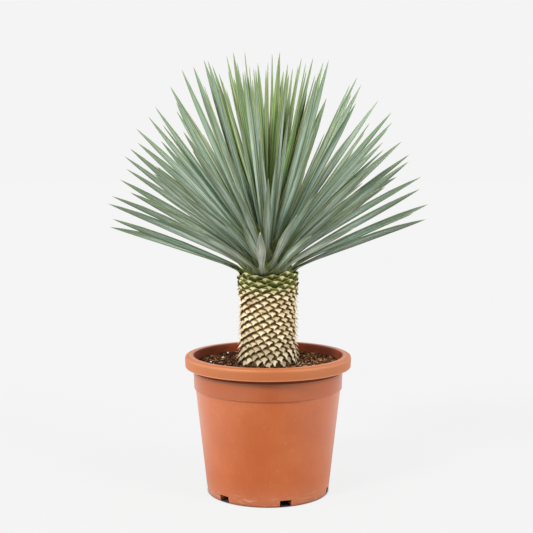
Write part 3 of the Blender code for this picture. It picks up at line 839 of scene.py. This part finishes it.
def leafRoot(tip, young):
    low = math.sin(math.radians(leafSizes["lowest"]))
    share = ((tip - Vector((0, 0, leafSizes["centre"]))).normalized().z - low) / (1 - low)
    if young:
        radius, height = youngSizes["root"]
    else:
        radius, height = (mix(leafSizes["lowRoot"][k], leafSizes["highRoot"][k], share) for k in range(2))
    return Vector((tip.x, tip.y, 0)).normalized() * radius + up * height


def clear(leaf, others):
    for other in others:
        for share in (0.0, 0.2, 0.4, 0.7, 1.0):
            gap = leaf[0].lerp(leaf[1], share) - other[0].lerp(other[1], share)
            if gap.length < youngSizes["clearance"]:
                return False
    return True


def outlineLeaf(lean, reach, young, rng):
    s = leafSizes
    tip = Vector((reach * math.sin(lean), 0, s["centre"] + reach * math.cos(lean)))
    tip.y = rng.uniform(-s["outlineDepth"], s["outlineDepth"])
    roll = math.radians(rng.uniform(*s["outlineRoll"])) * rng.choice((-1, 1))
    return leafRoot(tip, young), tip, roll


def linedUp(tip):
    # a leaf at the side turns to the nearest leaf of the outline, which keeps the gaps between them
    s = leafSizes
    rise = tip.z - s["centre"]
    lean, reach = math.degrees(math.atan2(tip.x, rise)), math.hypot(tip.x, rise)
    if reach > s["openReach"] and abs(lean) > s["openFrom"]:
        return None
    nearest = min((outer for outer, _ in outlineLeaves), key=lambda outer: abs(outer - lean))
    if abs(nearest - lean) > s["lineUp"]:
        return tip
    far = ease(*s["lineUpReach"], reach)
    lean = mix(lean, nearest, 0.75 * far * ease(12, 30, abs(lean)))
    reach *= 1 - 0.10 * far * ease(30, 48, abs(lean))
    lean = math.radians(lean)
    return Vector((reach * math.sin(lean), tip.y, s["centre"] + reach * math.cos(lean)))


def headLeaves():
    s = leafSizes
    rng = random.Random(11)
    centre = Vector((0, 0, s["centre"]))
    front = []
    for turn, lift, reach, _, rootTurn, roll in frontLeaves:
        tip = centre + direction(math.radians(turn), math.radians(lift)) * reach
        root = Matrix.Rotation(math.radians(rootTurn), 3, "Z") @ leafRoot(tip, False)
        front.append((root, tip, math.radians(roll)))
    outline = [outlineLeaf(math.radians(lean), reach, False, rng) for lean, reach in outlineLeaves
               if abs(lean) > youngSizes["lean"]]
    placed = front + outline
    low, high = (math.sin(math.radians(s[key])) for key in ("lowest", "highest"))
    jitter = math.radians(s["jitter"])
    places = []
    for k in range(s["fill"]):
        places.append((-k * goldenAngle, math.asin(low + (high - low) * (k + 0.5) / s["fill"])))
    for k in range(s["inner"]):
        places.append((2 * math.pi * (k + 0.5) / s["inner"], math.radians(s["innerLift"])))
    for turn, lift in places:
        turn += rng.uniform(-jitter, jitter) / math.cos(lift)
        lift += rng.uniform(-jitter, jitter)
        reach = s["reach"] + s["reachGain"] * math.sin(lift) ** s["reachPower"]
        reach *= 1 - s["shorter"] * rng.random() ** 2
        roll = math.radians(rng.uniform(*s["roll"])) * rng.choice((-1, 1))
        pointing = direction(turn, lift)
        nearFront = min(math.degrees(pointing.angle(tip - centre)) for _, tip, _ in front)
        nearOutline = min(math.degrees(pointing.angle(tip - centre)) for _, tip, _ in outline)
        if nearFront > s["frontClear"] and nearOutline > s["outlineClear"]:
            tip = linedUp(centre + pointing * min(reach, s["headRadius"] / math.cos(lift)))
            if tip:
                placed.append((leafRoot(tip, False), tip, roll))
    return placed


def youngLeaves(fullGrown):
    y = youngSizes
    rng = random.Random(5)
    centre = Vector((0, 0, leafSizes["centre"]))
    leaves = []
    for lean, reach in outlineLeaves:
        if abs(lean) < y["lean"]:
            tries = [outlineLeaf(math.radians(lean), reach, True, rng) for _ in range(y["tries"])]
            leaves += [leaf for leaf in tries if clear(leaf, fullGrown)][:1]
    for k in range(y["count"]):
        lean = math.radians(y["spread"]) * math.sqrt((k + 0.5) / y["count"])
        reach = y["reach"] * (1 - y["shorter"] * rng.random())
        roll = math.radians(rng.uniform(*y["roll"])) * rng.choice((-1, 1))
        tip = centre + direction(-k * goldenAngle, math.pi / 2 - lean) * reach
        leaf = (leafRoot(tip, True), tip, roll)
        if clear(leaf, fullGrown):
            leaves.append(leaf)
    for k in range(y["extra"]):  # these thin the gaps in the middle of the head
        lean = math.radians(y["extraSpread"]) * math.sqrt((k + 0.5) / y["extra"])
        reach = y["reach"] * rng.uniform(*y["extraReach"])
        tip = centre + direction(k * goldenAngle + 0.5, math.pi / 2 - lean) * reach
        roll = math.radians(rng.uniform(*y["extraRoll"])) * rng.choice((-1, 1))
        leaves.append((leafRoot(tip, True), tip, roll))
    return leaves


def bladeTemplate():
    # x is the corner, y the ring and z the share along
    bm = bmesh.new()
    uv, edges = numberedRing(bm, len(bladeCorners))
    bmesh.ops.contextual_create(bm, geom=edges)
    for number, rule in enumerate(bladeRings[1:], 1):
        ring, edges = nextRing(bm, edges)
        for vert in ring:
            vert.co.y, vert.co.z = number, rule[0]
    end = bmesh.ops.contextual_create(bm, geom=edges)["faces"]
    tip = bmesh.ops.poke(bm, faces=end)["verts"][0]
    tip.co = (-1, 0, 1)
    for item in bm.faces:
        for loop in item.loops:
            number = round(loop.vert.co.x)
            side = 0.5 if number < 0 else 0.5 + 0.5 * bladeCorners[number][0]
            loop[uv].uv = (side, loop.vert.co.z)
    return template(bm)


def addBlade(bm, original, leaf, width, pointed, rng, **values):
    s = leafSizes
    root, tip, roll = leaf
    along = (tip - root).normalized()
    across = along.cross(up).normalized()
    out = Vector((root.x, root.y, 0)).normalized()
    steep = max(0.0, along.z)  # the base of a steep leaf clasps the stem
    sheath = [(out * outward - up * down) * steep for outward, down in s["sheath"]]
    arch = 4 * s["arch"] * (1 - along.z**2)
    bow = rng.uniform(-s["bow"], s["bow"]) * (1 - pointed)
    twist = rng.uniform(-s["twist"], s["twist"]) * (1 - pointed)

    def moved(co):
        number = round(co.x)
        if number < 0:
            return tip
        share, fullness, keel, channel = bladeRings[round(co.y)]
        fullness *= 1 - s["taper"] * pointed * ease(0.45, 0.90, share)
        heading = up.lerp(along, ease(-0.02, 0.11, share)).normalized()
        above = across.cross(heading)
        turned = roll * ease(0.03, 0.28, share) + twist * (share - 0.48) * ease(0.0, 0.3, share)
        side = across * math.cos(turned) + above * math.sin(turned)
        face = above * math.cos(turned) - across * math.sin(turned)
        bend = share * (1 - share)
        middle = root.lerp(tip, share) + up * (arch * bend) + side * (bow * bend)
        middle += sheath[min(2, round(co.y))]
        sideways, inChannel, atKeel = bladeCorners[number]
        depth = s["channelDepth"] * channel * inChannel + s["keelDepth"] * keel * atKeel
        return middle + side * (0.5 * width * fullness * sideways) - face * depth

    values.setdefault("tint", rng.random())
    addCopy(bm, original, moved, **values)


def makeLeaves():
    s, y = leafSizes, youngSizes
    original = bladeTemplate()
    fullGrown = headLeaves()
    centre = Vector((0, 0, s["centre"]))
    for name, leaves, width, node in (("fullLeaves", fullGrown, s["width"], "leaf_head"),
                                      ("youngLeaves", youngLeaves(fullGrown), y["width"], "young_leaves")):
        rng = random.Random(name)
        bm = newShell(("tint", "fresh", "aged"))
        for number, leaf in enumerate(leaves):
            lift = math.degrees(math.asin((leaf[1] - centre).normalized().z))
            values = {"fresh": rng.uniform(0.55, 1.0), "aged": 0.0}
            wide, pointed = width * rng.uniform(0.92, 1.04), 0.0
            if node == "leaf_head":
                values["fresh"] = ease(68, 88, lift + rng.uniform(-9, 9))
                values["aged"] = ease(32, 14, lift) * rng.uniform(0.0, 0.6)
                # the front leaves are paler: partly their own grey tone, partly painted light
                if number < len(frontLeaves):
                    values["tint"] = frontLeaves[number][3]
                    values["aged"] = values["tint"] ** 3
                    wide, pointed = s["frontWidth"] * (1 + 0.18 * values["aged"]), 1.0
            addBlade(bm, original, leaf, wide, pointed, rng, **values)
        bmesh.ops.recalc_face_normals(bm, faces=bm.faces)
        finished(bm, name, leafPaint(name), node, node, 22)
    radius, foot = trunkSizes["radius"], trunkSizes["top"] + 0.0005
    bore, floor = y["budRadius"] + 0.0003, y["budFoot"] - 0.0003
    core = [
        (0, foot, 0), (radius, foot, 0), (radius, s["centre"] - 0.004, 0),
        (mix(radius, s["stemRadius"], 0.30), mix(s["centre"], s["stemTop"], 0.40), 0.004),
        (s["stemRadius"], s["stemTop"], 0.004), (bore, s["stemTop"], 0), (bore, floor, 0), (0, floor, 0),
    ]
    finished(turnedShape(core, 48), "crownStem", stemPaint("crownStem"), "leaf_head", "leaf_head", 40)
    bud = [(0, y["budFoot"], 0), (y["budRadius"], y["budFoot"], 0),
           (y["budRadius"], y["budShoulder"], 0.004), (*y["budNeck"], 0.01), (0, y["budTop"], 0)]
    finished(turnedShape(bud, 24), "leafBud", stemPaint("leafBud"), "young_leaves", "young_leaves", 60)
    print("leaves made")


leafColors = {
    # pairs: full-grown and waxy, then young and green
    "darkest": ((0.206, 0.354, 0.262), (0.195, 0.338, 0.082)),
    "palest": ((0.630, 0.742, 0.640), (0.470, 0.612, 0.222)),
    "bloom": ((0.41, 0.49, 0.42), (0.33, 0.44, 0.12)),
    "lines": ((0.65, 0.73, 0.62), (0.51, 0.62, 0.27)),
    # pairs: low leaves and steep ones, then common leaves and aged ones
    "outerHalf": ((0.250, 0.275, 0.100), (0.150, 0.240, 0.118)),
    "dryTip": ((0.29, 0.23, 0.075), (0.66, 0.57, 0.42)),
    "outside": (0.170, 0.245, 0.170),
    "aged": (0.62, 0.65, 0.56),
    "veins": (0.065, 0.115, 0.052),
    "innerHalfShade": (0.125, 0.165, 0.050),
    "foot": (0.075, 0.110, 0.018),
    "edgeShade": (0.058, 0.098, 0.036),
    "edge": (0.56, 0.58, 0.27),
    "footEdge": (0.40, 0.45, 0.11),
    "inside": (0.068, 0.084, 0.030),
    "heartShade": (0.105, 0.155, 0.020),
    "low": (0.105, 0.155, 0.100),
    "stem": ((0.022, 0.016, 0.006), (0.095, 0.085, 0.030)),
    "stemFoot": ((0.030, 0.042, 0.008), (0.110, 0.140, 0.030)),
}


def leafPaint(name):
    c = leafColors
    paint = Paint(name, Specular_IOR_Level=0.4)
    across, along = paint.acrossAlong()
    edge = abs(across * 2.0 - 1.0)
    place = paint.place()
    offset = paint.node("VectorMath", {"operation": "SUBTRACT"},
                        {0: place, 1: (0, 0, leafSizes["centre"] + 0.01)})
    away = paint.length(offset)
    rise = paint.axis(offset, 2) / away
    outer = paint.limit(away, 0.17, 0.33)
    low = outer * paint.limit(rise, 0.85, 0.50)
    tint, fresh, aged = paint.value("tint"), paint.value("fresh"), paint.value("aged")
    strip = paint.node("CombineXYZ", None, {0: across * 6.5, 1: along * 2.2, 2: tint * 57.0})
    veins = paint.noise(strip, 1.0, 5.0, 0.75)
    cloud = paint.noise(place, 26.0, 3.0, 0.55)
    tint = paint.limit(tint, 0.05, 0.95)
    waxy, leafy = (paint.blend(tint, c["darkest"][k], c["palest"][k]) for k in (0, 1))
    # painted shade on the outer leaves, more on the low ones
    waxy = paint.blend(outer * 0.22 + low * 0.46, waxy, c["outside"])
    # the aged grey is the leaves' own tone, and on the front leaves partly painted light
    waxy = paint.blend(aged * 0.6, waxy, c["aged"])
    color = paint.blend(fresh, waxy, leafy)
    color = paint.blend(paint.limit(cloud, 0.35, 0.70) * 0.30, color, paint.blend(fresh, *c["bloom"]))
    color = paint.blend(paint.limit(veins, 0.50, 0.41) * 0.60, color, c["veins"])
    color = paint.blend(paint.limit(veins, 0.50, 0.60) * 0.50, color, paint.blend(fresh, *c["lines"]))
    outerHalf = paint.blend(paint.limit(rise, 0.50, 0.85), *c["outerHalf"])
    color = paint.blend(paint.limit(along, 0.60, 0.95) * (0.60 - aged * 0.45), color, outerHalf)
    # painted shade towards the foot of each blade, and more at the very foot
    color = paint.blend(paint.limit(along, 0.25, 0.08) * (0.84 - aged * 0.42), color, c["innerHalfShade"])
    color = paint.blend(paint.limit(along, 0.08, 0.02) * 0.50, color, c["foot"])
    # painted shade along the edges of each blade
    edgeShade = paint.limit(edge, 0.47, 0.74) * (0.82 - 0.20 * outer) * (1 - aged * 0.65)
    color = paint.blend(edgeShade, color, c["edgeShade"])
    color = paint.blend(paint.limit(edge, 0.78, 0.92) * (0.40 + 0.30 * outer), color, c["edge"])
    footEdge = paint.limit(along, 0.17, 0.08) * paint.limit(edge, 0.62, 0.90)
    color = paint.blend(footEdge * 0.75, color, c["footEdge"])
    # painted shade on leaves deep inside the head
    inside = paint.limit(away, 0.25, 0.07) * paint.limit(rise, 0.50, 0.82, 0.41, 0.19)
    color = paint.blend(inside * (1.0 - aged * 0.70), color, c["inside"])
    # painted shade in the heart of the head
    heartShade = paint.limit(away, 0.42, 0.16) * paint.limit(rise, 0.950, 0.988)
    color = paint.blend(heartShade * 0.30, color, c["heartShade"])
    # more painted shade on the low outer leaves
    color = paint.blend(low * 0.74, color, c["low"])
    atTip = paint.limit(along, 0.965 - aged * 0.06, 0.995)
    color = paint.blend(atTip, color, paint.blend(aged, *c["dryTip"]))
    return paint.finish(color, 0.38 + veins * 0.2, veins, 0.0006, 0.6)


def stemPaint(name):
    paint = Paint(name, Specular_IOR_Level=0.3)
    place = paint.place()
    strands = paint.noise(paint.stretched((1.0, 1.0, 0.2), place), 300.0, 4.0, 0.6)
    # the stem's dark brown above the foot is partly dry bits and partly painted shade between the leaf feet
    stem, foot = (paint.blend(strands, *leafColors[key]) for key in ("stem", "stemFoot"))
    color = paint.blend(paint.limit(paint.axis(place, 2), 0.500, 0.512), foot, stem)
    return paint.finish(color, 0.7 + strands * 0.1, strands, 0.001, 0.8)


setStage()
makePot()
makeSoil()
makeTrunk()
makeLeaves()
